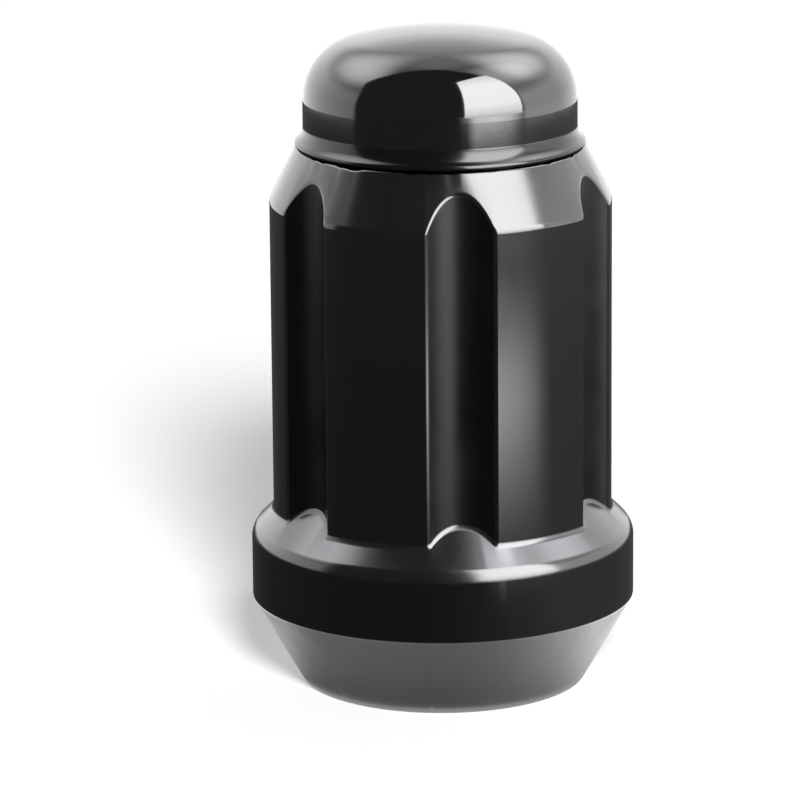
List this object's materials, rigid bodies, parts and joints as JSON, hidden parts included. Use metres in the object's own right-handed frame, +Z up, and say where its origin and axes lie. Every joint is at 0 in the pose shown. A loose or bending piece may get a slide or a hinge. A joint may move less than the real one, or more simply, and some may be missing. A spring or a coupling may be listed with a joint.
{
  "type": "lug nut",
  "caption": "Closed-end wheel lug nut with a fluted spline drive, a bulge collar above a conical seat, a tapped bore and a welded domed cap, in black chrome.",
  "frame": {"origin": "centre of the seat end, where the wheel stud enters", "axes": "+Z up the thread axis, from the seat end to the domed cap; one flute is centred on -Y"},
  "size_m": [0.0226, 0.0226, 0.039],
  "materials": {
    "body_plating": "black chrome plate over cold-formed steel, bright on the drive and collar and satin on the conical seat",
    "cap_plating": "black chrome plate over a deep-drawn steel cap, smooth and bright"
  },
  "bodies": {
    "root": {"nut_body": "body_plating", "end_cap": "cap_plating"}
  },
  "joints": []
}
